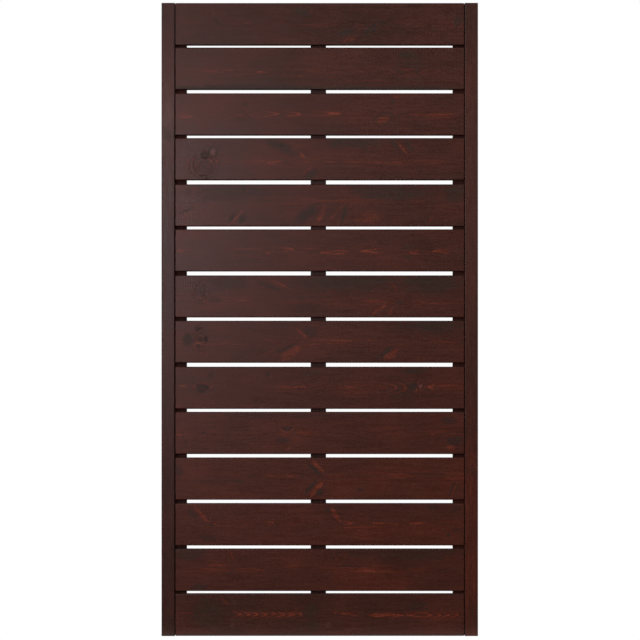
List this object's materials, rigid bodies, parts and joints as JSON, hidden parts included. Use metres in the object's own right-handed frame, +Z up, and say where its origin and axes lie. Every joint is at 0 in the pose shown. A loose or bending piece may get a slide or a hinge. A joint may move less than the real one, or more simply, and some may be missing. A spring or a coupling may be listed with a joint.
{
  "type": "privacy fence panel",
  "caption": "Slatted wooden privacy fence panel: flat boards with narrow gaps, set into two rebated side stiles and stiffened by an upright batten behind.",
  "frame": {"origin": "on the ground, midway between the stiles' outer sides and midway through the depth", "axes": "+Z up along the stiles, +Y from the board side to the back, +X along the boards to the right as seen from the front"},
  "size_m": [0.9, 0.045, 1.8],
  "materials": {
    "stained_wood": "planed softwood under a dark red-brown semi-gloss wood stain",
    "zinc_steel": "dull zinc"
  },
  "bodies": {
    "root": {"left_stile": "stained_wood", "right_stile": "stained_wood", "centre_batten": "stained_wood", "board_01": "stained_wood", "board_02": "stained_wood", "board_03": "stained_wood", "board_04": "stained_wood", "board_05": "stained_wood", "board_06": "stained_wood", "board_07": "stained_wood", "board_08": "stained_wood", "board_09": "stained_wood", "board_10": "stained_wood", "board_11": "stained_wood", "board_12": "stained_wood", "board_13": "stained_wood", "board_14": "stained_wood", "left_staples": "zinc_steel", "centre_staples": "zinc_steel", "right_staples": "zinc_steel"}
  },
  "joints": []
}
